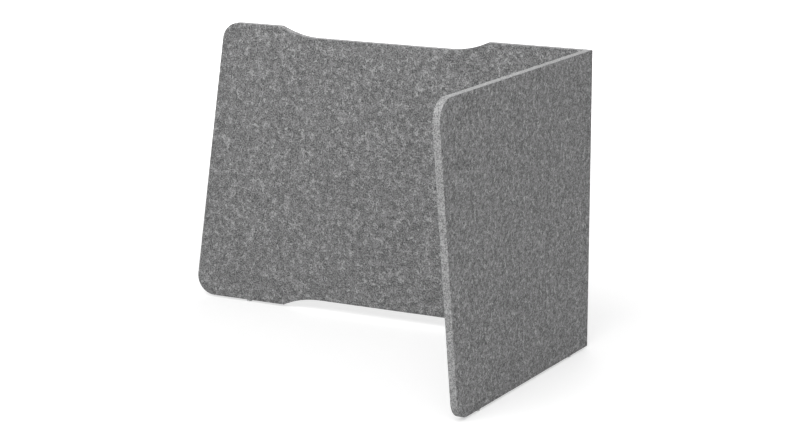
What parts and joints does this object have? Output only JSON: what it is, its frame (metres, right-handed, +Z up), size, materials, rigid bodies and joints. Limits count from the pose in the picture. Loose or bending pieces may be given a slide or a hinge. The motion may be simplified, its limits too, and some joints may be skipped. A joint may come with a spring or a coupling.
{
  "type": "study carrel",
  "caption": "Desktop study carrel folded from one thick felt board into an L, with leaning rounded ends, a shallow cable recess and small push-in feet.",
  "frame": {"origin": "on the desk under the middle of the carrel's outline", "axes": "+X along the back towards the fold, +Y towards the rear, +Z up"},
  "size_m": [0.7352, 0.5226, 0.4832],
  "materials": {
    "felt": "matt mid-grey marl of needled and pressed polyester fibre, with lighter cut edges",
    "bumper": "translucent pale polyurethane, satin"
  },
  "bodies": {
    "back": {"back_panel": "felt", "fold_skin": "felt", "foot_back_left": "bumper", "foot_back_right": "bumper"},
    "side": {"side_panel": "felt", "foot_side_rear": "bumper", "foot_side_front": "bumper"}
  },
  "joints": [
    {"name": "fold", "type": "hinge", "parent": "back", "child": "side", "pos_m": [0.36627, 0.26, 0.2432], "axis": [0, 0, 1], "range_deg": [0, 90], "deforming": ["fold_skin"]}
  ]
}
